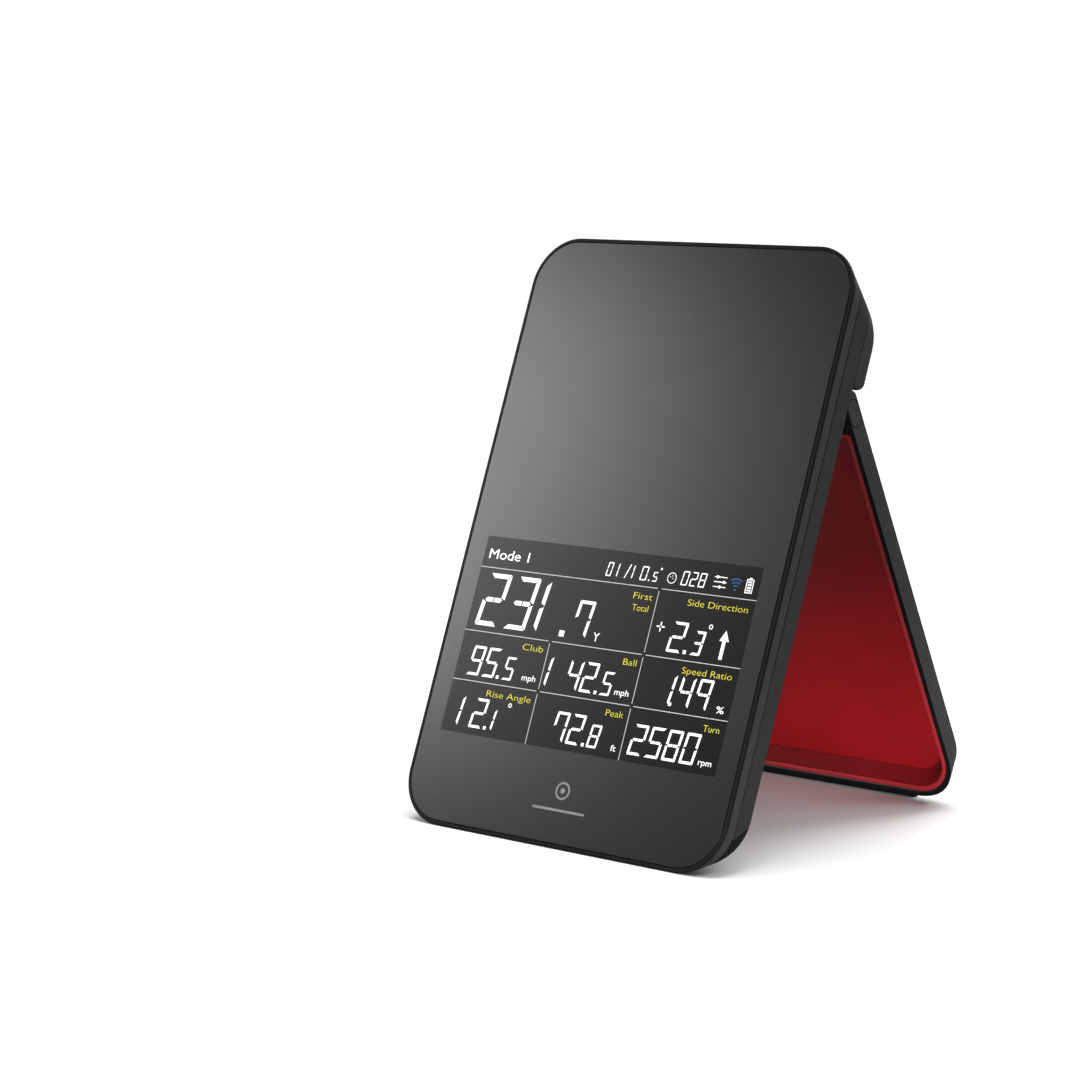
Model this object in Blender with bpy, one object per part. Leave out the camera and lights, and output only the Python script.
"""A portable golf launch monitor leaning on its fold-out stand, at real size.

Two frames carry the pieces. The case frame has x across, y into the case from the lens's outer face, and
z up the case from the lens's bottom edge. The stand frame sits on the hinge axis, with x across, y out
through the stand's back and z up the stand. Lengths below are in millimetres and angles in degrees.
"""

import math

import bmesh
import bpy

MM = 0.001
TINY = 0.3            # gap between neighbouring pieces
LEAN = 21.5           # how far the case leans back
SPREAD = 26.8         # how far the stand leans the other way
OPENING = LEAN + SPREAD

# Case outline
WIDTH = 133.0
LOW = -1.5
HIGH = 202.9
CORNER = 16.9         # corner radius at the front
LOW_CORNER = 8.5      # bottom corner radius at the slab's back
HIGH_CORNER = 14.2    # top corner radius at the bulge's back
GROOVE = 0.45         # dark gap between the rim and the lens
SEAM = 4.75           # depth of the seam between bezel and rear housing
SLAB = 11.5           # depth of the flat part of the case
BULGE = 17.8          # depth of the thick part at the top
WALL = 1.8
SLANT = 0.77          # rise of the bottom, and fall of the top, for each unit of depth
SLANT_START = 1.0
FOOT_START = 0.5      # the narrow flat that stands on the floor
FOOT_END = 2.1
LOW_FILLET = 12.0
TOP_FILLET = 9.0
BULGE_LOW = 160.4
BULGE_FILLET = 3.0
BACK_FILLET = 1.2
CAP_RISE = 10.8       # height of the base cap at the seam
CAP_SLOPE = 0.85

# Lens and display
LENS_W = 130.0
LENS_H = 201.4
LENS_T = 1.6
LENS_CORNER = 15.4
SEAT = 0.4            # how far the bezel's step reaches in under the lens's edge
LEDGE_NEAR = 2.7
LEDGE_HALF = 61.0
DISPLAY_HALF = 58.5
DISPLAY_LOW = 27.5
DISPLAY_HIGH = 99.5

# Hinge and stand
HINGE_Y = SLAB + 3.4
HINGE_Z = 153.6
STAND_IN = -3.1       # the stand's inner plane, from the hinge axis
STAND_OUT = 3.5
HEEL_RUN = 5.5        # length of the flat that stops against the back
LIP = 1.75
SKIN = 1.15
BAR_LOW = -7.0        # lower edge of the solid bar that holds the hinges
LINER_T = 0.85
LINER_RUN = 2.4       # how far the liner's walls slope in
FOOT_HALF = 46.8
FOOT_PROUD = 1.5
FOOT_SUNK = 0.7       # how far the rubber foot is let into the stand
FOOT_IN = -2.6
FOOT_LOWEST = -0.4
FOOT_OUT = 1.2
EAR_X = (50.0, 54.4)
EAR_R = 2.45
BRACKET_SCREW_Z = HINGE_Z - 7.6
BRACKET_SCREW_X = 4.8
PIN_R = 1.3
BORE_R = 1.45

# Screws
SCREW_R = 1.1
HOLE_R = 1.4
HEAD_R = 2.1
HEAD_T = 0.9
HOUSING_SCREWS = [(x, z) for x in (-61.3, 61.3) for z in (38.0, 135.0)]
COVER_SCREWS = [(-56.0, 166.2), (56.0, 166.2)]

# Side controls
BUTTON_Y = 13.8
BUTTON_HALF = 2.5
BUTTON_R = 1.4
BUTTON_TRAVEL = 0.45
BUTTONS = {"power": 172.6, "mode": 166.6}
USB_Y = 8.1
USB_Z = 106.5
USB_HALF = 4.45
USB_R = 1.6
SPEAKER_X = 38.0
SPEAKER_Z = 175.0

STEPS = 8             # segments in a quarter circle of an outline
SIDES = 12            # segments round a small turned piece
BOSS_SIDES = 16
HOLE_SIDES = 10
MANIFOLD_PIECES = ("bulge_cover", "front_bezel", "rear_housing")    # the exact solver leaves these open


def sine(angle):
    return math.sin(math.radians(angle))


def cosine(angle):
    return math.cos(math.radians(angle))


def tangent(angle):
    return math.tan(math.radians(angle))


def clear_scene():
    for obj in list(bpy.data.objects):
        bpy.data.objects.remove(obj)


def material(name, colour, roughness, metallic=0.0):
    made = bpy.data.materials.new(name)
    made.use_nodes = True
    shader = made.node_tree.nodes["Principled BSDF"]
    shader.inputs["Base Color"].default_value = (*colour, 1.0)
    shader.inputs["Roughness"].default_value = roughness
    shader.inputs["Metallic"].default_value = metallic
    return made


# ---------------------------------------------------------------- mesh helpers

def finish_mesh(name, bm, look, parent, helper=False):
    bmesh.ops.recalc_face_normals(bm, faces=bm.faces)
    mesh = bpy.data.meshes.new(name)
    bm.to_mesh(mesh)
    bm.free()
    mesh.shade_smooth()
    mesh.set_sharp_from_angle(angle=math.radians(32))
    obj = bpy.data.objects.new(name, mesh)
    bpy.context.scene.collection.objects.link(obj)
    obj.parent = parent
    if look is not None:
        mesh.materials.append(look)
    if helper:
        obj.hide_render = True
        obj.display_type = "WIRE"
    return obj


def outline(half, low, high, low_r, high_r, steps=STEPS):
    """A rectangle with round corners, as (x, z) points."""
    corners = (
        (half - high_r, high - high_r, high_r, 0),
        (high_r - half, high - high_r, high_r, 90),
        (low_r - half, low + low_r, low_r, 180),
        (half - low_r, low + low_r, low_r, 270),
    )
    points = []
    for middle_x, middle_z, radius, start in corners:
        for step in range(steps + 1):
            angle = start + 90 * step / steps
            points.append((middle_x + radius * cosine(angle), middle_z + radius * sine(angle)))
    return points


def oval(middle_y, middle_z, half, radius, steps=4):
    """A slot shape, long along z, as (y, z) points."""
    points = []
    for end_z, start in ((middle_z + half - radius, 0), (middle_z - half + radius, 180)):
        for step in range(2 * steps + 1):
            angle = start + 90 * step / steps
            points.append((middle_y + radius * cosine(angle), end_z + radius * sine(angle)))
    return points


def along_y(depth, point):
    return (point[0] * MM, depth * MM, point[1] * MM)


def along_x(depth, point):
    return (depth * MM, point[0] * MM, point[1] * MM)


def loft(name, levels, look, parent, place=along_y, helper=False):
    """A closed solid through outlines of equal length, each at its own depth."""
    bm = bmesh.new()
    rings = []
    for depth, ring in levels:
        rings.append([bm.verts.new(place(depth, point)) for point in ring])
    count = len(rings[0])
    for near, far in zip(rings, rings[1:]):
        for i in range(count):
            j = (i + 1) % count
            bm.faces.new((near[i], near[j], far[j], far[i]))
    bm.faces.new(rings[0][::-1])
    bm.faces.new(rings[-1])
    return finish_mesh(name, bm, look, parent, helper)


def plate(name, half, low, high, radius, near, far, look, parent, steps=3, helper=False):
    ring = outline(half, low, high, radius, radius, steps)
    return loft(name, [(near, ring), (far, ring)], look, parent, helper=helper)


def block(name, xs, ys, zs, look, parent, helper=False):
    ring = [(xs[0], zs[0]), (xs[1], zs[0]), (xs[1], zs[1]), (xs[0], zs[1])]
    return loft(name, [(ys[0], ring), (ys[1], ring)], look, parent, helper=helper)


def prism(name, profile, xs, look, parent, helper=False):
    """A profile of (y, z) points drawn out along x."""
    return loft(name, [(xs[0], profile), (xs[1], profile)], look, parent, along_x, helper)


def turned(name, profile, centre, axis, look, parent, helper=False, sides=SIDES):
    """A solid of revolution. The profile holds (radius, distance along the axis). It starts and ends on
    the axis, or it is a loop clear of the axis."""
    bm = bmesh.new()
    rings = []
    for radius, distance in profile:
        spots = 1 if radius == 0 else sides
        ring = []
        for i in range(spots):
            angle = 360 * (i + 0.5) / sides
            across = (radius * cosine(angle), radius * sine(angle))
            spot = (distance, *across) if axis == "X" else (across[0], distance, across[1])
            ring.append(bm.verts.new([(c + s) * MM for c, s in zip(centre, spot)]))
        rings.append(ring)
    if profile[0][0] > 0:
        rings.append(rings[0])
    for near, far in zip(rings, rings[1:]):
        for i in range(sides):
            j = (i + 1) % sides
            corners = [near[i % len(near)], near[j % len(near)], far[j % len(far)], far[i % len(far)]]
            bm.faces.new(list(dict.fromkeys(corners)))
    return finish_mesh(name, bm, look, parent, helper)


def rod(name, radius, start, end, centre, axis, look, parent, helper=False, sides=SIDES):
    profile = [(0, start), (radius, start), (radius, end), (0, end)]
    return turned(name, profile, centre, axis, look, parent, helper, sides)


def boss(name, radius, start, end, x, z, case):
    return rod(name, radius, start, end, (x, 0, z), "Y", None, case, True, BOSS_SIDES)


def hole(name, radius, start, end, x, z, case):
    return rod(name, radius, start, end, (x, 0, z), "Y", None, case, True, HOLE_SIDES)


def sunk_hole(name, start, step, end, x, z, case):
    """A screw's hole with a wider seat for its head from depth step on."""
    wide = HEAD_R + TINY
    profile = [(0, start), (HOLE_R, start), (HOLE_R, step), (wide, step), (wide, end), (0, end)]
    return turned(name, profile, (x, 0, z), "Y", None, case, True, HOLE_SIDES)


def boolean(obj, other, operation):
    modifier = obj.modifiers.new(operation.title(), "BOOLEAN")
    modifier.operation = operation
    modifier.object = other
    if obj.name in MANIFOLD_PIECES:
        modifier.solver = "MANIFOLD"
    return obj


def cut(obj, *cutters):
    for cutter in cutters:
        boolean(obj, cutter, "DIFFERENCE")


def join(obj, *others):
    for other in others:
        boolean(obj, other, "UNION")


# ---------------------------------------------------------------- shape of the case

def slant_low(depth):
    """Height of the slanted bottom, before its fillet."""
    if depth < FOOT_START:
        return LOW
    if depth < FOOT_END:
        return LOW + tangent(LEAN) * (depth - FOOT_START)
    return LOW + tangent(LEAN) * (FOOT_END - FOOT_START) + SLANT * (depth - FOOT_END)


def slant_high(depth):
    return HIGH - SLANT * max(0.0, depth - SLANT_START)


def fillet_reach(radius):
    """Distance from a slanted edge's corner with the back to where its fillet starts."""
    turn = 90 - math.degrees(math.atan(SLANT))
    return radius * tangent(turn / 2)


def low_edge(depth):
    """Height of the bottom, with the large fillet into the slab's back."""
    middle_z = slant_low(SLAB) + fillet_reach(LOW_FILLET)
    middle_y = SLAB - LOW_FILLET
    if depth <= middle_y + LOW_FILLET * sine(math.degrees(math.atan(SLANT))):
        return slant_low(depth)
    across = min(LOW_FILLET, depth - middle_y)
    return middle_z - math.sqrt(LOW_FILLET**2 - across**2)


def high_edge(depth):
    """Height of the slanted top, with its fillet into the bulge's back."""
    middle_z = slant_high(BULGE) - fillet_reach(TOP_FILLET)
    middle_y = BULGE - TOP_FILLET
    if depth <= middle_y + TOP_FILLET * sine(math.degrees(math.atan(SLANT))):
        return slant_high(depth)
    across = min(TOP_FILLET, depth - middle_y)
    return middle_z + math.sqrt(TOP_FILLET**2 - across**2)


def fillet_depths(back, radius, count):
    """Depths at equal angles round a fillet that ends at the back."""
    start = math.degrees(math.atan(SLANT))
    return [back - radius + radius * sine(start + (90 - start) * i / count) for i in range(count + 1)]


def bulge_floor(depth):
    start = BULGE - BULGE_FILLET
    across = min(BULGE_FILLET, max(0.0, depth - start))
    return BULGE_LOW + BULGE_FILLET - math.sqrt(BULGE_FILLET**2 - across**2)


def bulge_half(depth):
    start = BULGE - BACK_FILLET
    across = min(BACK_FILLET, max(0.0, depth - start))
    return WIDTH / 2 - BACK_FILLET + math.sqrt(BACK_FILLET**2 - across**2)


def low_corner(depth):
    share = max(0.0, depth - SLANT_START) / (SLAB - SLANT_START)
    return CORNER + (LOW_CORNER - CORNER) * share


def high_corner(depth):
    share = max(0.0, depth - SLANT_START) / (BULGE - SLANT_START)
    return CORNER + (HIGH_CORNER - CORNER) * share


def case_ring(depth, inset=0.0, low=None, high=None):
    low = low_edge(depth) if low is None else low
    high = high_edge(depth) if high is None else high
    ends = (low + inset, high - inset, low_corner(depth) - inset, high_corner(depth) - inset)
    return outline(WIDTH / 2 - inset, *ends)


def cap_line(depth):
    """Height of the seam above the base cap."""
    return slant_low(SEAM) + CAP_RISE + CAP_SLOPE * (depth - SEAM)


# ---------------------------------------------------------------- pieces of the case

def lens_ring(grow=0.0):
    """The lens's outline, grown all round."""
    radius = LENS_CORNER + grow
    return outline(LENS_W / 2 + grow, -grow, LENS_H + grow, radius, radius)


def make_front_lens(look, case):
    edge = 0.25
    rings = [(0.0, lens_ring(-edge)), (edge, lens_ring()), (LENS_T, lens_ring())]
    loft("front_lens", rings, look, case)


def make_lens_gasket(look, case):
    near = LENS_T + 0.25
    far = LEDGE_NEAR - 0.25
    gasket = plate("lens_gasket", 64.3, 0.7, 200.7, 14.7, near, far, look, case, steps=5)
    cut(gasket, plate("gasket_hole", 62.0, 3.4, 198.0, 12.4, near - 1, far + 1, None, case, 5, True))


def make_front_bezel(look, case):
    lift = 0.4
    depths = [FOOT_START, SLANT_START, FOOT_END, SEAM - TINY / 2]
    rings = [(0.1, case_ring(0.1, lift))] + [(depth, case_ring(depth)) for depth in depths]
    bezel = loft("front_bezel", rings, look, case)
    step = LENS_T + 0.1
    wide = lens_ring(GROOVE)
    narrow = lens_ring(-SEAT)
    levels = [(-1, wide), (step, wide), (step, narrow), (LEDGE_NEAR, narrow)]
    pocket = loft("lens_pocket", levels, None, case, helper=True)
    opening = plate("ledge_opening", LEDGE_HALF, 4.9, 196.5, 11, 2, 6, None, case, 4, True)
    cut(bezel, pocket, opening)
    for number, (x, z) in enumerate(HOUSING_SCREWS):
        join(bezel, boss(f"bezel_boss_{number}", 2.5, LEDGE_NEAR + 0.2, 7.5, x, z, case))
        cut(bezel, hole(f"bezel_bore_{number}", HOLE_R, 3.6, 9, x, z, case))


def make_rear_housing(look, case):
    depths = [SEAM + TINY / 2, 5.8] + fillet_depths(SLAB, LOW_FILLET, 5)
    rings = [(depth, case_ring(depth)) for depth in depths[:-1]]
    rings.append((SLAB, case_ring(SLAB)))
    housing = loft("rear_housing", rings, look, case)
    floor = SLAB - WALL
    inner = [(SEAM - 1, case_ring(SEAM, WALL, 14.2, slant_high(SEAM) - 0.6))]
    inner.append((floor, case_ring(floor, WALL, 18.4, slant_high(floor) - 0.6)))
    cut(housing, loft("housing_cavity", inner, None, case, helper=True))
    below = [(SEAM - 2, cap_line(SEAM - 2)), (SEAM - 2, -20), (SLAB + 2, -20), (SLAB + 2, cap_line(SLAB + 2))]
    cut(housing, prism("cap_space", below, (-80, 80), None, case, True))
    window = plate("battery_window", 50, 164.5, 187, 3, 7, 14, None, case, 2, True)
    cut(housing, window)
    for number, (x, z) in enumerate(HOUSING_SCREWS + COVER_SCREWS):
        join(housing, boss(f"housing_pad_{number}", 3.2, 7.9, floor + 0.2, x, z, case))
    for number, (x, z) in enumerate(HOUSING_SCREWS):
        cut(housing, sunk_hole(f"housing_hole_{number}", 7, SLAB - 1.5, 13, x, z, case))
    for number, (x, z) in enumerate(COVER_SCREWS):
        cut(housing, hole(f"cover_thread_{number}", HOLE_R, 7, 13, x, z, case))
    for side in (-1, 1):
        middle = side * (EAR_X[0] + EAR_X[1]) / 2
        pad = block(f"hinge_pad_{side}", (middle - 9.2, middle + 9.2), (7.2, floor + 0.2),
                    (HINGE_Z - 13.2, HINGE_Z + 5.8), None, case, True)
        pocket = block(f"hinge_pocket_{side}", (middle - 7.7, middle + 7.7), (SLAB - 1.7, SLAB + 2),
                       (HINGE_Z - 11.7, HINGE_Z + 4.3), None, case, True)
        join(housing, pad)
        cut(housing, pocket)
        for x in (middle - BRACKET_SCREW_X, middle + BRACKET_SCREW_X):
            cut(housing, hole(f"bracket_bore_{x:.1f}", HOLE_R - 0.2, 7.7, 11, x, BRACKET_SCREW_Z, case))
    port = oval(USB_Y, USB_Z, USB_HALF + 0.35, USB_R + 0.35)
    cut(housing, loft("port_hole", [(-70, port), (-60, port)], None, case, along_x, True))


def make_bulge_cover(look, case):
    depths = [SLAB + TINY, 13.0] + fillet_depths(BULGE, TOP_FILLET, 6)
    rings = []
    for depth in depths:
        ends = (bulge_floor(depth), high_edge(depth), 1.5, high_corner(depth))
        rings.append((depth, outline(bulge_half(depth), *ends)))
    cover = loft("bulge_cover", rings, look, case)
    roof = BULGE - WALL
    inner = []
    for depth in (SLAB - 1, 14.0, roof):
        high = slant_high(depth) - (2.4 if depth < roof else 4.8)
        ends = (BULGE_LOW + WALL, high, 1.2, high_corner(depth) - WALL)
        inner.append((depth, outline(WIDTH / 2 - WALL, *ends)))
    cut(cover, loft("cover_cavity", inner, None, case, helper=True))
    for number, (x, z) in enumerate(COVER_SCREWS):
        join(cover, boss(f"cover_boss_{number}", 2.9, SLAB + 0.6, roof + 0.2, x, z, case))
        cut(cover, sunk_hole(f"cover_hole_{number}", 10, BULGE - 1.5, 19, x, z, case))
    for name, z in BUTTONS.items():
        ring = oval(BUTTON_Y, z, BUTTON_HALF + 0.25, BUTTON_R + 0.25)
        cut(cover, loft(f"{name}_hole", [(-70, ring), (-60, ring)], None, case, along_x, True))
    for ring_radius, count in ((0, 1), (3.0, 6), (6.0, 12)):
        for i in range(count):
            angle = 360 * i / count
            x = SPEAKER_X + ring_radius * cosine(angle)
            z = SPEAKER_Z + ring_radius * sine(angle)
            name = f"grille_hole_{ring_radius:.0f}_{i}"
            cut(cover, rod(name, 0.7, 15, 19, (x, 0, z), "Y", None, case, True, sides=6))


def make_base_cap(look, case):
    depths = [SEAM + TINY / 2] + fillet_depths(SLAB, LOW_FILLET, 5)
    cap = loft("base_cap", [(depth, case_ring(depth)) for depth in depths], look, case)
    above = [
        (SEAM - 2, cap_line(SEAM - 2) - TINY),
        (SLAB + 2, cap_line(SLAB + 2) - TINY),
        (SLAB + 2, HIGH + 20),
        (SEAM - 2, HIGH + 20),
    ]
    cut(cap, prism("above_cap", above, (-80, 80), None, case, True))


def make_display(glass, metal, case):
    plate("lcd_panel", DISPLAY_HALF, DISPLAY_LOW, DISPLAY_HIGH, 0.8, 2.0, 4.1, glass, case, steps=1)
    tray = plate("lcd_tray", DISPLAY_HALF - 1, DISPLAY_LOW + 1, DISPLAY_HIGH - 1, 0.8, 4.4, 6.3, metal, case,
                 steps=1)
    cut(tray, block("tray_light_gap", (-56, 56), (4.0, 5.6), (30, 97), None, case, True))


def make_boards(board, can, case):
    main = plate("main_board", 54, 24, 113, 1.5, 6.7, 7.9, board, case, steps=2)
    notch = block("usb_notch", (-60, -49.5), (5, 9), (USB_Z - 5.2, USB_Z + 5.2), None, case, True)
    cut(main, notch)
    radar = plate("radar_board", 50, 118, 188, 1.5, 3.1, 4.2, board, case, steps=2)
    shield = plate("radar_shield", 41, 128, 186, 1.0, 4.5, 7.0, can, case, steps=1)
    cut(shield, block("shield_hollow", (-40.4, 40.4), (4.0, 6.4), (128.6, 185.4), None, case, True))


def make_battery(look, case):
    plate_ring = outline(32, 165.8, 183.5, 2.0, 2.0, 3)
    shifted = [(x - 16, z) for x, z in plate_ring]
    loft("battery_pack", [(9.0, shifted), (15.4, shifted)], look, case)


def make_speaker(look, case):
    magnet = [(0, 10.6), (6.0, 10.6), (6.0, 12.4)]
    cone = [(9.0, 13.4), (9.0, 15.2), (7.6, 15.2), (2.0, 13.9), (0, 14.2)]
    turned("speaker", magnet + cone, (SPEAKER_X, 0, SPEAKER_Z), "Y", look, case, sides=20)


def make_buttons(cap, metal, board, case):
    """The keys are flush with the side, and each flange keeps its key in the wall."""
    face = -WIDTH / 2
    flange = WALL + TINY
    back = flange + 0.6
    start = face + back + BUTTON_TRAVEL + 0.1
    for name, z in BUTTONS.items():
        empty = bpy.data.objects.new(f"{name}_button_slide", None)
        bpy.context.scene.collection.objects.link(empty)
        empty.parent = case
        empty.location = (face * MM, BUTTON_Y * MM, z * MM)
        edge = oval(0, 0, BUTTON_HALF - 0.25, BUTTON_R - 0.25)
        side = oval(0, 0, BUTTON_HALF, BUTTON_R)
        wide = oval(0, 0, BUTTON_HALF + 0.5, BUTTON_R + 0.5)
        levels = [(0, edge), (0.25, side), (flange, side), (flange, wide), (back, wide)]
        loft(f"{name}_button", levels, cap, empty, along_x)
        stem = [(0, 0), (0.8, 0), (0.8, 0.35), (1.8, 0.35), (1.8, 1.5), (0, 1.5)]
        turned(f"{name}_switch", stem, (start, BUTTON_Y, z), "X", metal, case, sides=10)
    board_start = start + 1.5 + TINY
    block("side_board", (board_start, board_start + 1.0), (12.0, 15.6), (163.6, 175.3), board, case)


def make_usb_port(look, case):
    outer = oval(USB_Y, USB_Z, USB_HALF, USB_R)
    inner = oval(USB_Y, USB_Z, USB_HALF - 0.3, USB_R - 0.3)
    mouth = -WIDTH / 2 + 0.3
    port = loft("usb_c_port", [(mouth, outer), (mouth + 7.6, outer)], look, case, along_x)
    hollow = loft("port_hollow", [(mouth - 1, inner), (mouth + 6.2, inner)], None, case, along_x, True)
    tongue = block("port_tongue", (mouth + 1.2, mouth + 6.6), (USB_Y - 0.35, USB_Y + 0.35),
                   (USB_Z - 3.2, USB_Z + 3.2), None, case, True)
    cut(port, hollow)
    join(port, tongue)


def screw(name, x, z, top, length, look, case, head_r=HEAD_R):
    """A pan-head screw driven in along -y, its head's face at depth top."""
    under = top - HEAD_T
    shank = SCREW_R * head_r / HEAD_R
    profile = [
        (0, top - 0.5),
        (0.8, top),
        (head_r - 0.4, top),
        (head_r, under),
        (shank, under),
        (shank, under - length),
        (0, under - length - 0.5),
    ]
    turned(name, profile, (x, 0, z), "Y", look, case, sides=10)


def make_screws(look, case):
    for number, (x, z) in enumerate(HOUSING_SCREWS, 1):
        screw(f"housing_screw_{number}", x, z, SLAB - 0.35, 5.4, look, case)
    for number, (x, z) in enumerate(COVER_SCREWS, 1):
        screw(f"cover_screw_{number}", x, z, BULGE - 0.35, 8.0, look, case)
    for side, name in ((-1, "left"), (1, "right")):
        middle = side * (EAR_X[0] + EAR_X[1]) / 2
        for number, x in enumerate((middle - BRACKET_SCREW_X, middle + BRACKET_SCREW_X), 1):
            screw(f"bracket_screw_{name}_{number}", x, BRACKET_SCREW_Z, SLAB + 0.05, 1.5, look, case, 1.6)


def make_brackets(look, case):
    """Each bracket's base lies in a pocket of the housing, and its ear stands out at the hinge axis."""
    floor = SLAB - 1.7 + TINY
    face = SLAB - 0.9
    for side, name in ((-1, "left"), (1, "right")):
        ends = sorted((side * EAR_X[0], side * EAR_X[1]))
        middle = (ends[0] + ends[1]) / 2
        base = block(f"hinge_bracket_{name}", (middle - 7.4, middle + 7.4), (floor, face),
                     (HINGE_Z - 11.4, HINGE_Z + 4.0), look, case)
        crown = [(floor + 0.3, HINGE_Z - EAR_R), (floor + 0.3, HINGE_Z + EAR_R)]
        for i in range(11):
            crown.append((HINGE_Y + EAR_R * sine(18 * i), HINGE_Z + EAR_R * cosine(18 * i)))
        ear = prism(f"bracket_ear_{name}", crown, ends, None, case, True)
        join(base, ear)
        place = (0, HINGE_Y, HINGE_Z)
        cut(base, rod(f"ear_bore_{name}", BORE_R, ends[0] - 1, ends[1] + 1, place, "X", None, case, True))
        for number, x in enumerate((middle - BRACKET_SCREW_X, middle + BRACKET_SCREW_X), 1):
            cut(base, hole(f"base_hole_{name}_{number}", 1.1, 8, 14, x, BRACKET_SCREW_Z, case))


# ---------------------------------------------------------------- pieces of the stand

def hinge_height():
    """Height of the hinge axis above the floor."""
    floor = LOW * cosine(LEAN) - FOOT_START * sine(LEAN)
    return HINGE_Z * cosine(LEAN) - HINGE_Y * sine(LEAN) - floor


def stand_floor(out):
    """Where the floor lies in the stand's frame, at a distance out from the hinge axis."""
    return -(hinge_height() + out * sine(SPREAD)) / cosine(SPREAD)


def stand_low(out):
    """The stand's slanted bottom."""
    return stand_floor(FOOT_IN) + FOOT_PROUD + SLANT * (out - STAND_IN)


def stand_high(out):
    """The stand's heel: an arc round the axis, the flat that meets the back, and a round outer corner."""
    arc_end = STAND_IN * cosine(OPENING)
    if out <= arc_end:
        return math.sqrt(max(0.0, STAND_IN**2 - out**2))
    flat_end = arc_end + HEEL_RUN * sine(OPENING)
    if out <= flat_end:
        return -STAND_IN * sine(OPENING) + (out - arc_end) / tangent(OPENING)
    top = -STAND_IN * sine(OPENING) + HEEL_RUN * cosine(OPENING)
    span = STAND_OUT - flat_end
    return top - span * (1 - math.sqrt(max(0.0, 1 - ((out - flat_end) / span) ** 2)))


def stand_depths():
    arc_end = STAND_IN * cosine(OPENING)
    flat_end = arc_end + HEEL_RUN * sine(OPENING)
    span = STAND_OUT - flat_end
    arc = [STAND_IN * cosine(OPENING * i / 4) for i in range(5)]
    crown = [flat_end + span * sine(90 * i / 4) for i in range(5)]
    return arc + [0.0] + crown


def stand_ring(out, inset=0.0, low=None, high=None, high_r=1.2):
    """The stand's outline, a little smaller at the outer face where its edge is rounded."""
    edge = 0.6
    past = max(0.0, out - (STAND_OUT - edge))
    shrink = edge - math.sqrt(max(0.0, edge**2 - past**2))
    low = stand_low(out) if low is None else low
    high = stand_high(out) if high is None else high
    inset = inset + shrink
    return outline(WIDTH / 2 - inset, low + inset, high - min(inset, shrink * 0.5), CORNER - inset, high_r)


def make_stand_frame(look, stand):
    frame = loft("stand_frame", [(out, stand_ring(out)) for out in stand_depths()], look, stand)
    inner = []
    for out in (STAND_IN - 1, STAND_OUT - SKIN):
        low = stand_low(out) + LIP
        inner.append((out, outline(WIDTH / 2 - LIP, low, BAR_LOW, CORNER - LIP, 3.0)))
    cut(frame, loft("tray_hollow", inner, None, stand, helper=True))
    half = FOOT_HALF + TINY
    start = FOOT_IN - TINY
    end = FOOT_OUT + TINY
    groove = [
        (start, stand_low(start) - 3),
        (end, stand_low(end) - 3),
        (end, stand_low(end) + FOOT_SUNK + TINY),
        (start, stand_low(start) + FOOT_SUNK + TINY),
    ]
    cut(frame, prism("foot_groove", groove, (-half, half), None, stand, True))
    for side in (-1, 1):
        pocket_x = sorted((side * (EAR_X[0] - 0.4), side * (EAR_X[1] + 1.0)))
        cut(frame, block(f"ear_pocket_{side}", pocket_x, (-5, 2.75), (-3.2, 9), None, stand, True))
        bore_x = sorted((side * 47.2, side * 65.0))
        cut(frame, rod(f"pin_bore_{side}", BORE_R, bore_x[0], bore_x[1], (0, 0, 0), "X", None, stand, True))
        head_x = sorted((side * 63.6, side * 66.0))
        cut(frame, rod(f"pin_sink_{side}", 2.3, head_x[0], head_x[1], (0, 0, 0), "X", None, stand, True))
        seat_x = sorted((side * 65.2, side * 70.0))
        seat = [(x, cap_ring(TINY)) for x in seat_x]
        cut(frame, loft(f"cap_seat_{side}", seat, None, stand, along_x, True))


def make_stand_liner(look, stand):
    """One thin moulding: a rim, walls that slope in, and a flat floor."""
    start = STAND_IN + 0.1
    floor = STAND_OUT - SKIN - TINY
    gap = LIP + TINY
    top = BAR_LOW - TINY

    def ring(out, inset):
        low = stand_low(out) + gap + inset
        return outline(WIDTH / 2 - gap - inset, low, top - inset, CORNER - gap - inset, max(0.6, 3.4 - inset))

    outer = [
        (start, ring(start, 0)),
        (start + 0.9, ring(start + 0.9, 0)),
        (start + 0.9, ring(start + 0.9, 0.8)),
        (floor, ring(floor, 0.8 + LINER_RUN)),
    ]
    liner = loft("stand_liner", outer, look, stand)
    inset = 0.8 + LINER_T
    slope = LINER_RUN / (floor - start - 0.9)
    inner = [
        (start - 1, ring(start, inset)),
        (start, ring(start, inset)),
        (floor - LINER_T, ring(floor - LINER_T, inset + slope * (floor - LINER_T - start))),
    ]
    cut(liner, loft("liner_hollow", inner, None, stand, helper=True))


def make_stand_foot(look, stand):
    profile = [
        (FOOT_IN, stand_low(FOOT_IN) + FOOT_SUNK),
        (FOOT_IN, stand_floor(FOOT_IN)),
        (FOOT_LOWEST, stand_floor(FOOT_LOWEST)),
        (FOOT_OUT, stand_low(FOOT_OUT) - 0.9),
        (FOOT_OUT, stand_low(FOOT_OUT) + FOOT_SUNK),
    ]
    prism("stand_foot", profile, (-FOOT_HALF, FOOT_HALF), look, stand)


def cap_ring(grow=0.0):
    """The oval cap over a pin's end, long along the stand."""
    return oval(0, -2.0, 5.6 + grow, 2.7 + grow)


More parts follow.
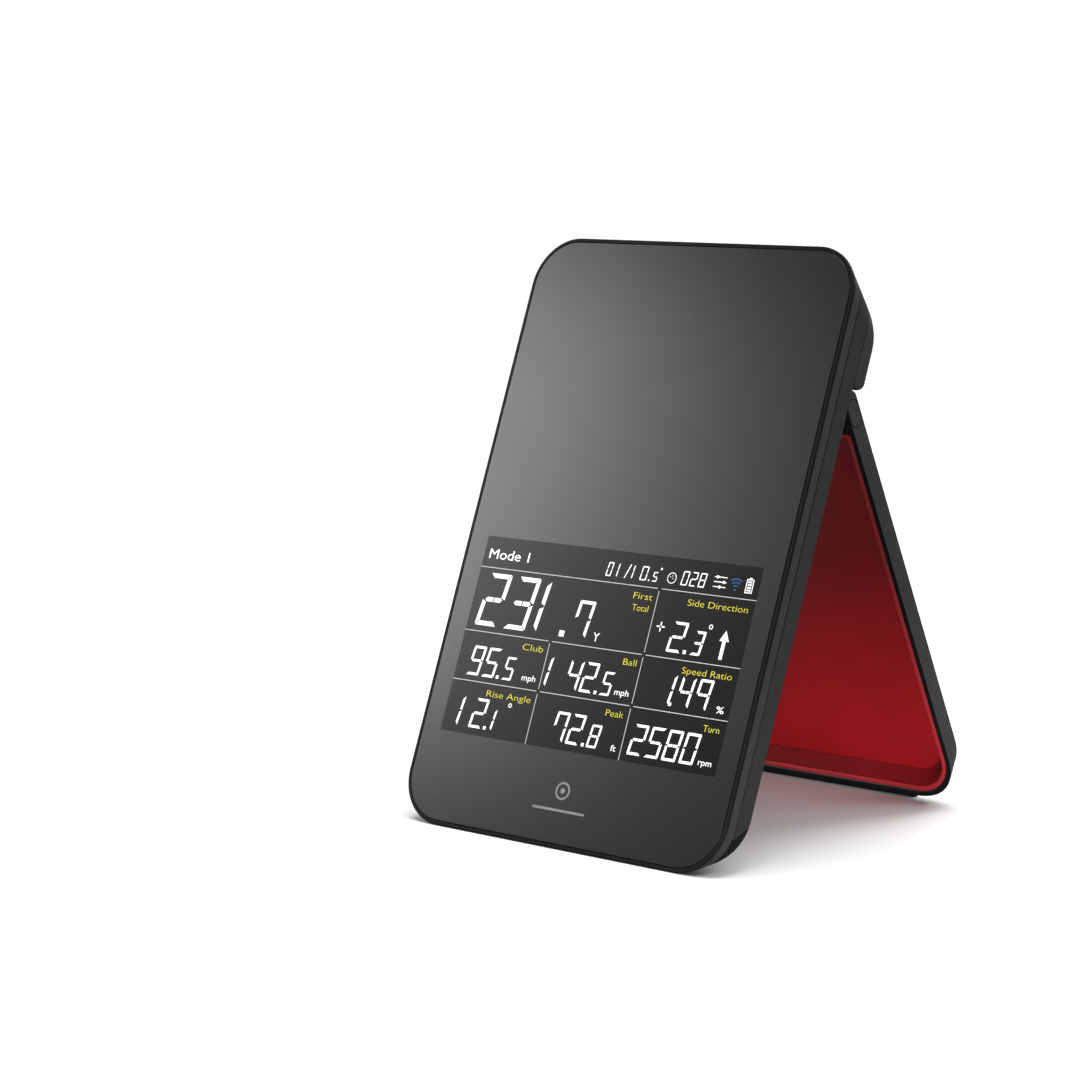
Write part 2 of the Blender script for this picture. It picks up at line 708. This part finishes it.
def make_hinge_pins(steel, spring, cap, stand):
    for side, name in ((-1, "left"), (1, "right")):
        profile = [(0, 47.6), (PIN_R, 47.6), (PIN_R, 63.9), (2.0, 63.9), (2.0, 64.8), (0, 64.8)]
        profile = [(radius, side * distance) for radius, distance in profile]
        turned(f"hinge_pin_{name}", profile, (0, 0, 0), "X", steel, stand)
        ring = [(BORE_R, 54.65), (BORE_R, 55.15), (2.3, 55.15), (2.3, 54.65)]
        ring = [(radius, side * distance) for radius, distance in ring]
        turned(f"friction_washer_{name}", ring, (0, 0, 0), "X", spring, stand)
        ends = sorted((side * 65.45, side * WIDTH / 2))
        loft(f"hinge_cap_{name}", [(ends[0], cap_ring()), (ends[1], cap_ring())], cap, stand, along_x)


# ---------------------------------------------------------------- assembly

def make_frames():
    """The case leans back on its front edge. The stand hangs from the hinge axis, opened to its stop."""
    low_front = (LOW + 0.4) * sine(LEAN) + 0.1 * cosine(LEAN)
    hinge = HINGE_Z * sine(LEAN) + HINGE_Y * cosine(LEAN)
    reaches = []
    for out in stand_depths():
        low = min(z for x, z in stand_ring(out))
        reaches.append(out * cosine(SPREAD) - low * sine(SPREAD))
    middle = (low_front + hinge + max(reaches)) / 2
    case = bpy.data.objects.new("case_frame", None)
    bpy.context.scene.collection.objects.link(case)
    case.location = (0, -middle * MM, -(LOW * cosine(LEAN) - FOOT_START * sine(LEAN)) * MM)
    case.rotation_euler = (math.radians(-LEAN), 0, 0)
    stand = bpy.data.objects.new("stand_hinge", None)
    bpy.context.scene.collection.objects.link(stand)
    stand.parent = case
    stand.location = (0, HINGE_Y * MM, HINGE_Z * MM)
    stand.rotation_euler = (math.radians(OPENING), 0, 0)
    return case, stand


def main():
    clear_scene()
    case, stand = make_frames()
    shell = material("case_plastic", (0.045, 0.045, 0.048), 0.5)
    dark = material("dark_plastic", (0.02, 0.02, 0.022), 0.55)
    red = material("red_plastic", (0.42, 0.02, 0.03), 0.45)
    rubber = material("rubber", (0.02, 0.02, 0.02), 0.85)
    glass = material("smoked_lens", (0.05, 0.05, 0.055), 0.12)
    steel = material("steel", (0.55, 0.55, 0.57), 0.3, 1.0)
    tin = material("shield_tin", (0.6, 0.6, 0.6), 0.35, 1.0)
    board = material("circuit_board", (0.01, 0.12, 0.05), 0.5)
    sleeve = material("battery_sleeve", (0.05, 0.12, 0.3), 0.4)

    make_front_lens(glass, case)
    make_lens_gasket(rubber, case)
    make_front_bezel(shell, case)
    make_rear_housing(shell, case)
    make_bulge_cover(shell, case)
    make_base_cap(rubber, case)
    make_display(glass, tin, case)
    make_boards(board, tin, case)
    make_battery(sleeve, case)
    make_speaker(dark, case)
    make_buttons(dark, dark, board, case)
    make_usb_port(steel, case)
    make_screws(steel, case)
    make_brackets(steel, case)
    make_stand_frame(shell, stand)
    make_stand_liner(red, stand)
    make_stand_foot(rubber, stand)
    make_hinge_pins(steel, steel, dark, stand)


main()
